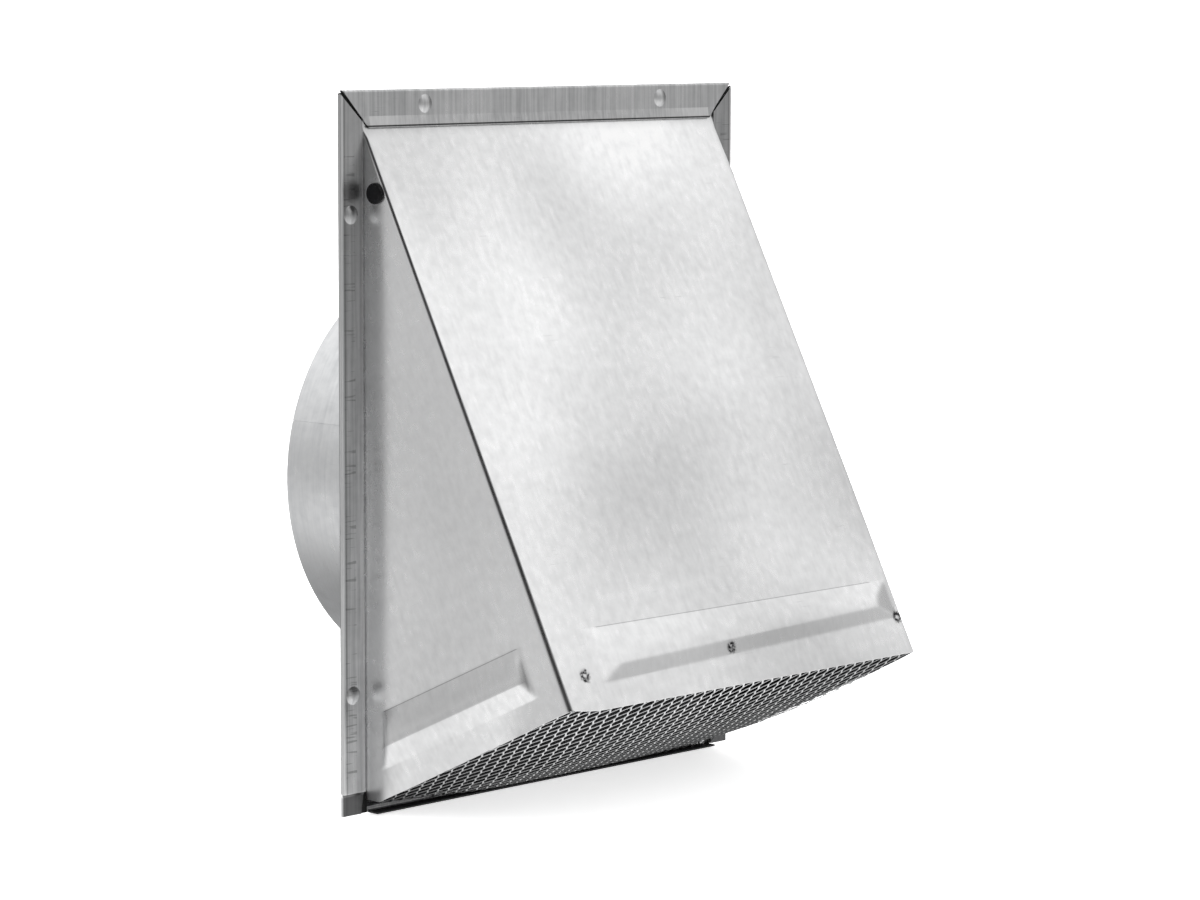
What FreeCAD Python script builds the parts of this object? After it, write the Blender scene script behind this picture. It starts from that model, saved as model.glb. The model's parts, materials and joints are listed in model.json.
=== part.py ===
"""Wall vent cap with a sloping hood, round duct collar, gravity damper and bird screen.

Millimetres. +X is to the right seen from outside, +Y goes into the wall, +Z is up.
The origin is on the collar's axis, in the plane of the wall.
"""
import FreeCAD
import Part
import math
import os

# Sheet stock
sheet = 0.6                    # plate, hood, collar and flap
screen_sheet = 0.8             # expanded metal

# Collar: a rolled tube for nominal 6 inch duct
collar_diameter = 152.0        # outside, where the duct slips on
collar_length = 53.0           # behind the wall plane
collar_bead_radius = 1.6       # outside radius of the two swaged beads that trap the plate
collar_hole_gap = 0.2          # plate hole to tube, radial
seam_lap = 8.0                 # overlap of the rolled tube
seam_angle = 164.0             # place of the seam, from +X towards +Z
seam_line_width = 0.4
seam_line_depth = 0.3

# Room round the collar, from which the hood and the plate follow
side_room = 13.2               # collar to the hood's side panel, outside
room_below_collar = 35.0       # collar to the plate's lower edge
room_above_collar = 28.5       # collar to the damper's hinge
bend_above_hinge = 22.5        # hinge to the bend where the front panel leaves the plate
top_flange_height = 11.6       # of the hood, above that bend

# Back plate
hem_width = 10.2               # of the side strips
hem_edge_gap = 0.6             # strip to the hood's side panel
hem_step_length = 1.2          # over which a side strip steps back below the hood's flange
top_hem_band = 4.0             # lower band of the top strip, which leans out over the hood's bend
top_hem_drop = 0.7             # of that band's edge below the bend
top_hem_gap = 0.3              # that edge to the front panel
fold_gap = 0.1                 # flange edge to the inside of a fold
mitre_inset = 2.5              # hood's side panel to the inner end of a mitre slit
slit_width_outside = 1.6       # of the mitre slits, at the plate's corners
slit_width_inside = 0.5
foot_relief_width = 1.2        # tapered gap beside a strip's foot, at the plate's lower edge
foot_relief_height = 9.0
lip_depth = 6.0                # of the lower lip, in front of the wall plane
lip_bend_radius = 1.2          # outside
lip_end_gap = 0.8              # lip to the hood's side panel, inside

# Clinch dimples in the strips
dimple_depth = 1.0
dimple_width = 5.2             # across its hollow at the back
dimple_layer_gap = 0.05
top_dimple_spread = 120.0      # between the two on the top strip
top_dimple_drop = 5.1          # below the plate's upper edge
side_dimple_inset = 4.8        # from the plate's side edge
side_dimple_heights = (42.2, 208.2)   # above the plate's lower edge

# Hood
hood_depth = 101.3             # wall plane to the front edge
front_edge_height = 47.2       # above the plate's lower edge
heel_height = 4.9              # lower back corner of a side panel, above the plate's lower edge
heel_length = 7.4              # level cut at that corner
flange_end = 3.0               # lower end of a side flange, above the heel
hood_bend_radius = 1.2         # outside, along the two sloping edges
flange_bend_radius = 0.5       # inside the corner of side panel and flange

# Pressed beads above the hood's lower edges
bead_foot = 9.8                # lower edge of the hood to the bead
bead_width = 18.5
bead_lower_slope = 7.4
bead_upper_slope = 7.0
bead_end_slope = 5.0
bead_height = 2.0
bead_corner_radius = 4.5
bead_crown_radius = 5.0
front_bead_length = 148.5
front_bead_offset = 6.8        # its middle stands this far to the right
side_bead_back_margin = 10.8   # wall plane to the bead's back end
side_bead_front_margin = 12.8  # front panel to the bead's front end

# Spot marks that hold the screen's tab
spot_places = (-77.0, -4.0, 86.0)     # across the front panel
spot_height = 13.0             # above the front panel's lower edge
spot_ring_radius = 1.6
spot_groove_radius = 0.35

# Damper
rod_diameter = 3.0
hinge_distance = 8.0           # in front of the wall plane
rod_end_depth = 0.7            # into the head of each bushing
rod_running_gap = 0.05         # rod to bushing bore, radial
curl_gap = 0.02                # flap's curl to the rod, radial
curl_turn = 285.0              # of the flap's curled edge round the rod
flap_overlap = 7.0             # past the collar on each side and below
flap_corner_radius = 14.0
flap_seat_gap = 0.3            # closed flap to the collar's rim

# Bushings
bushing_head_diameter = 7.2
bushing_head_height = 1.7
bushing_head_round = 0.7
bushing_neck_diameter = 5.2
bushing_hole_gap = 0.1         # neck to the hole in the side panel, radial
bushing_snap_diameter = 5.8
bushing_snap_height = 1.6

# Bird screen
screen_tab_height = 17.0       # inside the front panel
screen_side_gap = 0.6          # to the side panels
screen_rear_tab = 4.6          # lies on the lip
screen_gap_columns = 15
screen_gap_rows = 8
screen_strand = 2.2
screen_margin = 4.0            # plain edge before the first and last row of gaps

# Places that follow from the sizes above
collar_radius = collar_diameter / 2
hood_half = collar_radius + side_room
plate_half = hood_half + hem_edge_gap + hem_width
plate_bottom = -collar_radius - room_below_collar
hinge_z = collar_radius + room_above_collar
hinge_y = -hinge_distance
bend_z = hinge_z + bend_above_hinge
fold_inner = sheet / 2
fold_outer = fold_inner + sheet
plate_top = bend_z + top_flange_height + fold_gap + fold_outer
plate_front = -sheet
flange_front = -2 * sheet
strip_front = -3 * sheet
heel_z = plate_bottom + heel_height
flange_end_z = heel_z + flange_end
front_z = plate_bottom + front_edge_height
inner_half = hood_half - sheet
far = 4 * (hood_depth + plate_top - plate_bottom)   # past everything
near = 1e-6                    # two directions or heights this close are the same

# Directions on the hood, as vectors in the YZ plane
bend_point = FreeCAD.Vector(0, flange_front, bend_z)
front_point = FreeCAD.Vector(0, -hood_depth, front_z)
heel_point = FreeCAD.Vector(0, flange_front - heel_length, heel_z)
across = FreeCAD.Vector(1, 0, 0)
inward = FreeCAD.Vector(0, 1, 0)
upward = FreeCAD.Vector(0, 0, 1)
down_front = (front_point - bend_point).normalize()
front_outward = down_front.cross(across).normalize()
up_side = (front_point - heel_point).normalize()


def yz(y, z):
    """Point of a profile that is later pushed along X."""
    return FreeCAD.Vector(0, y, z)


def xz(x, z, y=0.0):
    """Point of an outline that is later pushed along Y."""
    return FreeCAD.Vector(x, y, z)


def prism(points, push):
    """Solid of a closed outline pushed along a vector."""
    wire = Part.makePolygon(list(points) + [points[0]])
    return Part.Face(wire).extrude(push)


def centred_prism(points, half_width):
    """Outline in the YZ plane, pushed to both sides of the middle."""
    shift = FreeCAD.Vector(-half_width, 0, 0)
    return prism([p + shift for p in points], across * (2 * half_width))


def block(x0, x1, y0, y1, z0, z1):
    return Part.makeBox(x1 - x0, y1 - y0, z1 - z0, FreeCAD.Vector(x0, y0, z0))


def mirrored(shape):
    return shape.mirror(FreeCAD.Vector(0, 0, 0), across)


def both_sides(shape):
    return [shape, mirrored(shape)]


def ring_sector(centre, inner, outer, start, turn, axis_x, axis_y):
    """Flat face of a bent sheet's section: a ring from angle start over the given turn."""
    def at(radius, angle):
        a = math.radians(angle)
        return centre + axis_x * (radius * math.cos(a)) + axis_y * (radius * math.sin(a))
    middle = start + turn / 2
    end = start + turn
    edges = [
        Part.Arc(at(outer, start), at(outer, middle), at(outer, end)).toShape(),
        Part.LineSegment(at(outer, end), at(inner, end)).toShape(),
        Part.Arc(at(inner, end), at(inner, middle), at(inner, start)).toShape(),
        Part.LineSegment(at(inner, start), at(outer, start)).toShape(),
    ]
    return Part.Face(Part.Wire(edges))


def joined(shapes):
    return shapes[0].fuse(shapes[1:]).removeSplitter()


# Clinch dimples: one round press through plate, flange and strip

dimple_centre_y = ((dimple_width / 2) ** 2 - dimple_depth ** 2) / (2 * dimple_depth)
dimple_hollow = dimple_centre_y + dimple_depth


def dimple_places():
    top_z = plate_top - top_dimple_drop
    side_x = plate_half - side_dimple_inset
    places = [(-top_dimple_spread / 2, top_z), (top_dimple_spread / 2, top_z)]
    for height in side_dimple_heights:
        places.append((-side_x, plate_bottom + height))
        places.append((side_x, plate_bottom + height))
    return places


def dimpled(shape, layer):
    """Layer 0 is the plate, 1 the flange and 2 the strip: each bulges forward over the one behind it."""
    back = -layer * sheet
    inner = dimple_hollow + layer * (sheet + dimple_layer_gap / 2)
    outer = dimple_hollow + (layer + 1) * sheet
    box = shape.BoundBox
    bumps = []
    hollows = []
    for x, z in dimple_places():
        if box.XMin < x < box.XMax and box.ZMin < z < box.ZMax:
            centre = FreeCAD.Vector(x, dimple_centre_y, z)
            front_half = block(x - outer, x + outer, -far, back, z - outer, z + outer)
            bumps.append(Part.makeSphere(outer, centre).common(front_half))
            hollows.append(Part.makeSphere(inner, centre))
    return shape.fuse(bumps).cut(hollows)


# Back plate

def side_strip_section(z, flange_inside):
    """Section of the left fold and strip, open for the flange or pressed flat on the plate."""
    gap = sheet if flange_inside else 0.0
    outer = sheet + gap / 2
    centre_x = -plate_half + outer
    back = plate_front - gap
    return Part.makePolygon([
        xz(centre_x, z, 0.0),
        xz(-plate_half, z, -outer),
        xz(centre_x, z, back - sheet),
        xz(-plate_half + hem_width, z, back - sheet),
        xz(-plate_half + hem_width, z, back),
        xz(centre_x, z, back),
        xz(centre_x - gap / 2, z, -outer),
        xz(centre_x, z, plate_front),
        xz(centre_x, z, 0.0),
    ])


def left_hem():
    """Side strip with a round fold, which steps back below the end of the hood's flange."""
    fold_centre = FreeCAD.Vector(-plate_half + fold_outer, -fold_outer, flange_end_z)
    length = FreeCAD.Vector(0, 0, plate_top - flange_end_z)
    fold = ring_sector(fold_centre, fold_inner, fold_outer, 90, 180, across, inward)
    inner_edge = -plate_half + hem_width
    strip = block(fold_centre.x, inner_edge, strip_front, flange_front, flange_end_z, plate_top)
    step_z = flange_end_z - hem_step_length
    pressed = [side_strip_section(plate_bottom, False), side_strip_section(step_z, False)]
    opening = [side_strip_section(step_z, False), side_strip_section(flange_end_z, True)]
    lower = [Part.makeLoft(pressed, True, True), Part.makeLoft(opening, True, True)]
    return joined([fold.extrude(length), strip] + lower).cut(foot_relief())


def foot_relief():
    """Wedge off the left strip's foot, which leaves a tapered gap beside the hood."""
    edge = -plate_half + hem_width
    outline = [
        xz(edge, plate_bottom + foot_relief_height, plate_front),
        xz(edge - foot_relief_width, plate_bottom, plate_front),
        xz(edge - foot_relief_width, plate_bottom - far, plate_front),
        xz(edge + far, plate_bottom - far, plate_front),
        xz(edge + far, plate_bottom + foot_relief_height, plate_front),
    ]
    return prism(outline, inward * -far)


def top_hem():
    """Upper strip with a round fold, whose lower band leans out with the front panel."""
    fold_centre = yz(-fold_outer, plate_top - fold_outer)
    width = across * (2 * plate_half)
    start = FreeCAD.Vector(-plate_half, 0, 0)
    fold = ring_sector(fold_centre, fold_inner, fold_outer, 0, 180, inward, upward)
    fold.translate(start)
    low = bend_point + down_front * top_hem_drop + front_outward * top_hem_gap
    band_start = yz(flange_front, low.z + top_hem_band)
    lean = (low - band_start).normalize()
    bend_angle = math.acos(-lean.z)
    strip = [
        yz(flange_front, plate_top - fold_outer),
        yz(strip_front, plate_top - fold_outer),
        band_start + yz(-sheet, sheet * math.tan(bend_angle / 2)),
        low + lean.cross(across) * sheet,
        low,
        band_start,
    ]
    return joined([fold.extrude(width), centred_prism(strip, plate_half)])


def mitre_cut(side):
    """Wedge that ends a strip at the left mitre slit. Side is 1 for the top strip, -1 for the side strip."""
    corner = xz(-plate_half, plate_top)
    inner = xz(-hood_half + mitre_inset, bend_z - top_hem_drop)
    run = (inner - corner).normalize()
    normal = FreeCAD.Vector(-run.z, 0, run.x) * side
    edge_a = corner + normal * (slit_width_outside / 2)
    edge_b = inner + normal * (slit_width_inside / 2)
    line = (edge_b - edge_a).normalize()
    outline = [edge_a - line * far, edge_b + line * far, edge_b + line * far - normal * far,
               edge_a - line * far - normal * far]
    thick = FreeCAD.Vector(0, -far, 0)
    return prism([p + FreeCAD.Vector(0, far / 2, 0) for p in outline], thick)


def lower_lip():
    """Lip between the hood's side panels, turned forward from the plate's lower edge."""
    half = inner_half - lip_end_gap
    inner = lip_bend_radius - sheet
    centre = yz(-lip_bend_radius, plate_bottom + lip_bend_radius)
    bend = ring_sector(centre, inner, lip_bend_radius, -90, 90, inward, upward)
    bend.translate(FreeCAD.Vector(-half, 0, 0))
    lip = block(-half, half, -lip_depth, -lip_bend_radius, plate_bottom, plate_bottom + sheet)
    return [bend.extrude(across * (2 * half)), lip]


def make_back_plate():
    side_hem = dimpled(left_hem().cut(mitre_cut(-1)), 2)
    upper_hem = dimpled(top_hem().cut(both_sides(mitre_cut(1))), 2)
    edge = plate_half - fold_outer
    lip_half = inner_half - lip_end_gap
    panel = block(-edge, edge, plate_front, 0, plate_bottom, plate_top - fold_outer)
    notch = block(-lip_half, lip_half, plate_front, 0, plate_bottom, plate_bottom + lip_bend_radius)
    hole = Part.makeCylinder(collar_radius + collar_hole_gap, far, FreeCAD.Vector(0, -far / 2, 0), inward)
    plate = dimpled(panel.cut([notch, hole]), 0)
    return joined([plate, upper_hem] + both_sides(side_hem) + lower_lip())


# Hood

def front_half_space():
    """Everything behind the outer face of the front panel."""
    top = bend_point - down_front * far
    low = bend_point + down_front * far
    back = front_outward * -far
    return centred_prism([top, low, low + back, top + back], far)


def rounded_wedge(outline, half_width, radius):
    """Closed wedge under the front panel, with round sloping edges."""
    solid = centred_prism(outline, half_width)
    sloping = []
    for edge in solid.Edges:
        run = (edge.Vertexes[-1].Point - edge.Vertexes[0].Point).normalize()
        if abs(run.dot(down_front)) > 1 - near:
            sloping.append(edge)
    return solid.makeFillet(radius, sloping)


def outer_wedge():
    outline = [bend_point, front_point, heel_point, yz(flange_front, heel_z)]
    return rounded_wedge(outline, hood_half, hood_bend_radius)


def inner_wedge():
    """Room inside the hood, run on through the flange and past the lower edges."""
    start = bend_point - front_outward * sheet - down_front * far
    low = front_point - front_outward * sheet + down_front * far
    outline = [start, low, yz(far, low.z), yz(far, start.z)]
    room = rounded_wedge(outline, inner_half, hood_bend_radius - sheet)
    return room.common(block(-far, far, -far, far, -far, bend_z))


def bead_frame(origin, along, up):
    """Placement that lays a bead's own axes on a panel: length, width and height."""
    out = along.cross(up).normalize()
    matrix = FreeCAD.Matrix(along.x, up.x, out.x, origin.x,
                            along.y, up.y, out.y, origin.y,
                            along.z, up.z, out.z, origin.z)
    return FreeCAD.Placement(matrix)


def crossing(line_a, line_b):
    """Point where two lines of a bead's outline meet. A line is a point and a direction."""
    (p, d), (q, e) = line_a, line_b
    turn = d.x * e.y - d.y * e.x
    gap = q - p
    return p + d * ((gap.x * e.y - gap.y * e.x) / turn)


def bead_outline(sides, runs, share, height):
    """The bead's four sides, each moved inward by a share of its slope, at a height."""
    moved = []
    for (point, direction), run in zip(sides, runs):
        inside = FreeCAD.Vector(-direction.y, direction.x, 0)
        moved.append((point + inside * (run * share), direction))
    corners = [crossing(moved[i - 1], moved[i]) for i in range(len(moved))]
    corners = [FreeCAD.Vector(c.x, c.y, height) for c in corners]
    return Part.makePolygon(corners + [corners[0]])


def bead_form(back_end, front_end, back_run, front_run):
    """Raised bead on a panel, as long as its two end lines leave it, with slopes and round corners.

    Length is along x, width along y and height along z. It starts one sheet below the panel.
    """
    along = FreeCAD.Vector(1, 0, 0)
    sides = [
        (FreeCAD.Vector(0, 0, 0), along),
        (FreeCAD.Vector(front_end, 0, 0), front_run),
        (FreeCAD.Vector(0, bead_width, 0), along * -1),
        (FreeCAD.Vector(back_end, 0, 0), back_run * -1),
    ]
    runs = [bead_lower_slope, bead_end_slope, bead_upper_slope, bead_end_slope]
    base = bead_outline(sides, runs, -sheet / bead_height, -sheet)
    top = bead_outline(sides, runs, 1.0, bead_height)
    solid = Part.makeLoft([base, top], True, True)
    rising = [e for e in solid.Edges if abs(e.Vertexes[0].Z - e.Vertexes[-1].Z) > bead_height / 2]
    solid = solid.makeFillet(bead_corner_radius, rising)
    crown = [e for e in solid.Edges if min(v.Z for v in e.Vertexes) > bead_height - near]
    return solid.makeFillet(bead_crown_radius, crown)


def front_bead():
    """Bead and its hollow on the front panel."""
    up = down_front * -1
    origin = front_point + up * bead_foot + across * front_bead_offset
    half = front_bead_length / 2
    square = FreeCAD.Vector(0, 1, 0)
    return pressed_bead(bead_form(-half, half, square, square), bead_frame(origin, across, up))


def left_bead():
    """Bead and its hollow on the left side panel: its ends follow the plate and the front panel."""
    up = FreeCAD.Vector(0, up_side.z, -up_side.y)
    origin = heel_point + up * bead_foot - across * hood_half

    def on_panel(direction):
        return FreeCAD.Vector(direction.dot(up_side), direction.dot(up), 0)
    upright = on_panel(FreeCAD.Vector(0, 0, 1))
    sloping = on_panel(down_front * -1)
    back_point = on_panel(yz(-side_bead_back_margin, heel_z) - origin)
    front_side = on_panel(front_point - front_outward * side_bead_front_margin - origin)
    base_line = (FreeCAD.Vector(0, 0, 0), FreeCAD.Vector(1, 0, 0))
    back_end = crossing(base_line, (back_point, upright)).x
    front_end = crossing(base_line, (front_side, sloping)).x
    return pressed_bead(bead_form(back_end, front_end, upright, sloping), bead_frame(origin, up_side, up))


def pressed_bead(form, place):
    """Outer form of a bead on its panel, and its hollow one sheet further in."""
    form.Placement = place
    hollow = form.copy()
    hollow.translate(place.Rotation.multVec(FreeCAD.Vector(0, 0, -sheet)))
    return form, hollow


def spot_groove(x):
    """Ring pressed into the front panel round a spot fixing."""
    centre = front_point - down_front * spot_height + across * x
    return Part.makeTorus(spot_ring_radius, spot_groove_radius, centre, front_outward)


def side_flange():
    """Left flange on the plate, with the bend that joins it to the side panel."""
    edge = plate_half - fold_outer - fold_gap
    flat = block(-edge, -hood_half, flange_front, plate_front, flange_end_z, bend_z)
    r = flange_bend_radius
    corner = block(-hood_half - r, -hood_half, flange_front - r, flange_front, flange_end_z, bend_z)
    hollow = Part.makeCylinder(r, far, FreeCAD.Vector(-hood_half - r, flange_front - r, -far / 2))
    return joined([flat, corner.cut(hollow).common(front_half_space())])


def flange_bend_cut():
    """Round outside of the same bend, on the plate's side."""
    r = flange_bend_radius + sheet
    centre = FreeCAD.Vector(-hood_half - flange_bend_radius, flange_front - flange_bend_radius, -far / 2)
    top = bend_z - hood_bend_radius
    corner = block(centre.x, centre.x + r, centre.y, centre.y + r, plate_bottom, top)
    return corner.cut(Part.makeCylinder(r, far, centre))


def make_hood():
    edge = plate_top - fold_outer - fold_gap
    top_flange = block(-hood_half, hood_half, flange_front, plate_front, bend_z - sheet, edge)
    body = joined([outer_wedge(), top_flange] + both_sides(side_flange()))
    body = body.cut([inner_wedge()] + both_sides(flange_bend_cut()))
    front_form, front_hollow = front_bead()
    left_form, left_hollow = left_bead()
    body = body.fuse([front_form] + both_sides(left_form))
    body = body.cut([front_hollow] + both_sides(left_hollow))
    hole_radius = bushing_neck_diameter / 2 + bushing_hole_gap
    hinge_holes = Part.makeCylinder(hole_radius, far, FreeCAD.Vector(-far / 2, hinge_y, hinge_z), across)
    body = body.cut([spot_groove(x) for x in spot_places] + [hinge_holes])
    return dimpled(body, 1).removeSplitter()


# Collar

def tube_wall(inner, outer, start, stop):
    """Flat face of a straight stretch of the tube's wall, from one place on its axis to another."""
    corners = [xz(inner, 0, start), xz(outer, 0, start), xz(outer, 0, stop), xz(inner, 0, stop)]
    return Part.Face(Part.makePolygon(corners + [corners[0]]))


def make_collar():
    """Tube with two swaged beads that trap the plate, open at both ends, with a lapped seam."""
    rim = hinge_y - rod_diameter / 2 - curl_gap + flap_seat_gap
    inner = collar_radius - sheet
    r_out = collar_bead_radius
    r_in = collar_bead_radius - sheet
    bead_middles = [plate_front - r_out, r_out]
    ends = [rim]
    faces = []
    for middle in bead_middles:
        centre = FreeCAD.Vector(inner, middle, 0)
        faces.append(ring_sector(centre, r_in, r_out, -90, 180, across, inward))
        ends += [middle - r_in, middle + r_in]
    ends.append(collar_length)
    for start, stop in zip(ends[0::2], ends[1::2]):
        faces.append(tube_wall(inner, collar_radius, start, stop))
    tube = joined([face.revolve(FreeCAD.Vector(0, 0, 0), inward, 360) for face in faces])
    lap_turn = math.degrees(seam_lap / collar_radius)
    lap_start = 2 * r_out
    lap_face = tube_wall(inner - sheet, inner + sheet / 2, lap_start, collar_length)
    lap_solid = lap_face.revolve(FreeCAD.Vector(0, 0, 0), inward, lap_turn)
    lap_solid.rotate(FreeCAD.Vector(0, 0, 0), inward, -seam_angle)
    line = block(collar_radius - seam_line_depth, collar_radius + sheet, lap_start, collar_length,
                 -seam_line_width / 2, seam_line_width / 2)
    line.rotate(FreeCAD.Vector(0, 0, 0), inward, -seam_angle)
    return joined([tube, lap_solid]).cut(line)


# Damper

def make_hinge_rod():
    reach = hood_half + rod_end_depth
    start = FreeCAD.Vector(-reach, hinge_y, hinge_z)
    return Part.makeCylinder(rod_diameter / 2, 2 * reach, start, across)


def make_damper_flap():
    """Sheet that hangs in front of the rod, with its upper edge curled back round it."""
    half = collar_radius + flap_overlap
    inner = rod_diameter / 2 + curl_gap
    outer = inner + sheet
    bottom = -collar_radius - flap_overlap
    curl = ring_sector(yz(hinge_y, hinge_z), inner, outer, 180 - curl_turn, curl_turn,
                       inward, upward)
    curl.translate(FreeCAD.Vector(-half, 0, 0))
    panel = block(-half, half, hinge_y - outer, hinge_y - inner, bottom, hinge_z)
    low_corners = [e for e in panel.Edges
                   if e.Length < 2 * sheet and max(v.Z for v in e.Vertexes) < bottom + sheet]
    panel = panel.makeFillet(flap_corner_radius, low_corners)
    return joined([curl.extrude(across * (2 * half)), panel])


def make_left_bushing():
    """Snap-in cap: domed head outside, neck through the side panel, snap ring inside, blind bore."""
    bore = rod_diameter / 2 + rod_running_gap
    head = bushing_head_diameter / 2
    neck = bushing_neck_diameter / 2
    snap = bushing_snap_diameter / 2
    face = -hood_half
    inside = -inner_half
    x_head = face - bushing_head_height
    x_end = inside + bushing_snap_height
    x_bore = face - rod_end_depth - rod_running_gap
    rise = bushing_head_round

    def p(x, radius):
        return FreeCAD.Vector(x, hinge_y, hinge_z + radius)
    turn = rise * (1 - math.sqrt(0.5))
    corners = [p(x_head, 0), p(x_head, head - rise)]
    rest = [p(x_head + rise, head), p(face, head), p(face, neck), p(inside, neck), p(inside, snap),
            p(x_end, neck), p(x_end, bore), p(x_bore, bore), p(x_bore, 0), p(x_head, 0)]
    edges = [Part.LineSegment(corners[0], corners[1]).toShape(),
             Part.Arc(corners[1], p(x_head + turn, head - turn), rest[0]).toShape()]
    edges += [Part.LineSegment(a, b).toShape() for a, b in zip(rest, rest[1:])]
    profile = Part.Face(Part.Wire(edges))
    return profile.revolve(p(0, 0), across, 360)


# Bird screen

def make_bird_screen():
    """Tab inside the front panel, floor from the panel's edge to the lip, and a rear tab on the lip."""
    half = inner_half - screen_side_gap
    tab_half = inner_half - hood_bend_radius
    front = front_point - front_outward * sheet
    rear = yz(-lip_depth, plate_bottom + sheet)
    back_run = (rear - front).normalize()
    below = FreeCAD.Vector(0, back_run.z, -back_run.y)
    floor_outline = [front, rear, rear - below * screen_sheet, front - down_front * screen_sheet]
    floor = centred_prism(floor_outline, half).cut(both_sides(screen_corner(tab_half, front)))
    tab_top = front - down_front * screen_tab_height
    tab_in = front_outward * -screen_sheet
    tab = centred_prism([front, tab_top, tab_top + tab_in, front + tab_in], tab_half)
    rear_tab = block(-half, half, rear.y, rear.y + screen_rear_tab, rear.z, rear.z + screen_sheet)
    return joined([floor, tab, rear_tab]).cut(screen_gaps(front, rear, back_run, below, half))


def screen_corner(tab_half, front):
    """Front corner that is snipped off to pass the hood's round edge."""
    reach = 2 * hood_bend_radius
    outline = [
        FreeCAD.Vector(tab_half, front.y - reach, -far),
        FreeCAD.Vector(tab_half, front.y, -far),
        FreeCAD.Vector(tab_half + reach, front.y + reach, -far),
        FreeCAD.Vector(tab_half + reach, front.y - reach, -far),
    ]
    return prism(outline, upward * (2 * far))


def screen_gaps(front, rear, back_run, below, half):
    """Staggered diamond gaps, long way front to back."""
    length = (rear - front).Length - 2 * screen_margin
    pitch = 2 * (half - screen_strand) / screen_gap_columns
    row_pitch = length / (screen_gap_rows + 1)
    narrow = pitch / 2 - screen_strand / 2
    long = row_pitch - screen_strand
    depth = below * (4 * screen_sheet)
    gaps = []
    for row in range(screen_gap_rows):
        odd = row % 2
        centre_line = front + back_run * (screen_margin + row_pitch * (row + 1)) - depth * 0.5
        for column in range(screen_gap_columns - odd):
            x = (column - (screen_gap_columns - 1 - odd) / 2) * pitch
            centre = centre_line + across * x
            gaps.append(prism([centre + across * narrow, centre + back_run * long,
                               centre - across * narrow, centre - back_run * long], depth))
    return gaps


def main():
    os.makedirs("parts", exist_ok=True)
    left_bushing = make_left_bushing()
    parts = {
        "back_plate": make_back_plate(),
        "hood": make_hood(),
        "collar": make_collar(),
        "bird_screen": make_bird_screen(),
        "damper_flap": make_damper_flap(),
        "hinge_rod": make_hinge_rod(),
        "left_bushing": left_bushing,
        "right_bushing": mirrored(left_bushing),
    }
    for name, shape in parts.items():
        shape.exportStep("parts/" + name + ".step")
        print(name, len(shape.Solids), shape.isValid(), round(shape.Volume, 1))


main()
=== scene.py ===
# %% [markdown]
# # A wall vent cap in mill aluminium
#
# The cap is folded sheet: a hooded front on a flat plate, a rolled collar behind it, a hanging damper
# inside and a bird screen of expanded metal underneath. The CAD model fixes every size. This file adds
# what the eye sees: the soft bends and pressed beads of the hood's sheet, the true diamonds of the
# screen, and the finish of each surface.

# %% Load the CAD parts
import json
import math

import bmesh
import bpy
from mathutils import Matrix, Vector, noise


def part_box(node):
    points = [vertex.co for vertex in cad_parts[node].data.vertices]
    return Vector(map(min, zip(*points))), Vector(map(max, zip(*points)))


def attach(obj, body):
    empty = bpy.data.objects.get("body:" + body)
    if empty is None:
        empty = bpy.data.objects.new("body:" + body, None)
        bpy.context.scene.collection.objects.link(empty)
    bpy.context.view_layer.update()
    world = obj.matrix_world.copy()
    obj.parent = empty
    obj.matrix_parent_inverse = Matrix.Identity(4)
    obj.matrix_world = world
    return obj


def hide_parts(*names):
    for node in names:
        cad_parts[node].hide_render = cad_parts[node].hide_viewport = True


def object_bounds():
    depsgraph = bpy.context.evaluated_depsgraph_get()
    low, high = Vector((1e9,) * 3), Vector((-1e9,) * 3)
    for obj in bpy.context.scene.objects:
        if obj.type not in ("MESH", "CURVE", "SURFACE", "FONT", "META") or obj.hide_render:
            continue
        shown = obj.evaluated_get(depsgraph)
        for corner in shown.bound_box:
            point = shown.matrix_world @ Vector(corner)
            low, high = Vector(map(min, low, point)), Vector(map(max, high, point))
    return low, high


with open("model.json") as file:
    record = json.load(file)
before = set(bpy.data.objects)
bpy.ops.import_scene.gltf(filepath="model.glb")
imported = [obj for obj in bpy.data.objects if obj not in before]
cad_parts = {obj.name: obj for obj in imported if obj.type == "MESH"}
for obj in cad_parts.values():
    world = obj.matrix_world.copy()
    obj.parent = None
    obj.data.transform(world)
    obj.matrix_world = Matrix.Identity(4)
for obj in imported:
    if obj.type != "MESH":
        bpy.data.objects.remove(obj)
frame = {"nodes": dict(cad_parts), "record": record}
cad_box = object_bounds()
parts = frame["nodes"]
scene = bpy.context.scene
mm = 0.001
print("parts:", sorted(parts))

# %% [markdown]
# ## Camera
#
# The place of the lens was found from the corners of the plate and the edges of the hood in the picture:
# a long lens, from the left, a little above the middle of the cap. It comes first, so that every later
# step can be looked at from there.

# %% Set up the camera
yaw, pitch, roll = 0.8123, 0.1142, 0.0026
lens = bpy.data.cameras.new("camera")
lens.lens = 117.53
lens.sensor_width = 36.0
camera = bpy.data.objects.new("camera", lens)
ahead_of_lens = Vector((math.sin(yaw) * math.cos(pitch), math.cos(yaw) * math.cos(pitch), -math.sin(pitch)))
level = ahead_of_lens.to_track_quat("-Z", "Y").to_matrix().to_4x4()
camera.matrix_world = Matrix.Translation((-1.00576, -0.98179, 0.16998)) @ level @ Matrix.Rotation(roll, 4, "Z")
scene.collection.objects.link(camera)
scene.camera = camera
scene.view_settings.view_transform = "Standard"
print("lens", lens.lens, "mm")

# %% [markdown]
# ## The hood's sheet
#
# The hood is one blank: a sloping front panel, two side panels, and narrow flanges that lie on the plate.
# Its corners and lines come from the CAD solid. The bends open a little towards the front, because a
# press brake leaves a long tapered piece rounder at its wide end. The right one was folded tighter.

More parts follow.
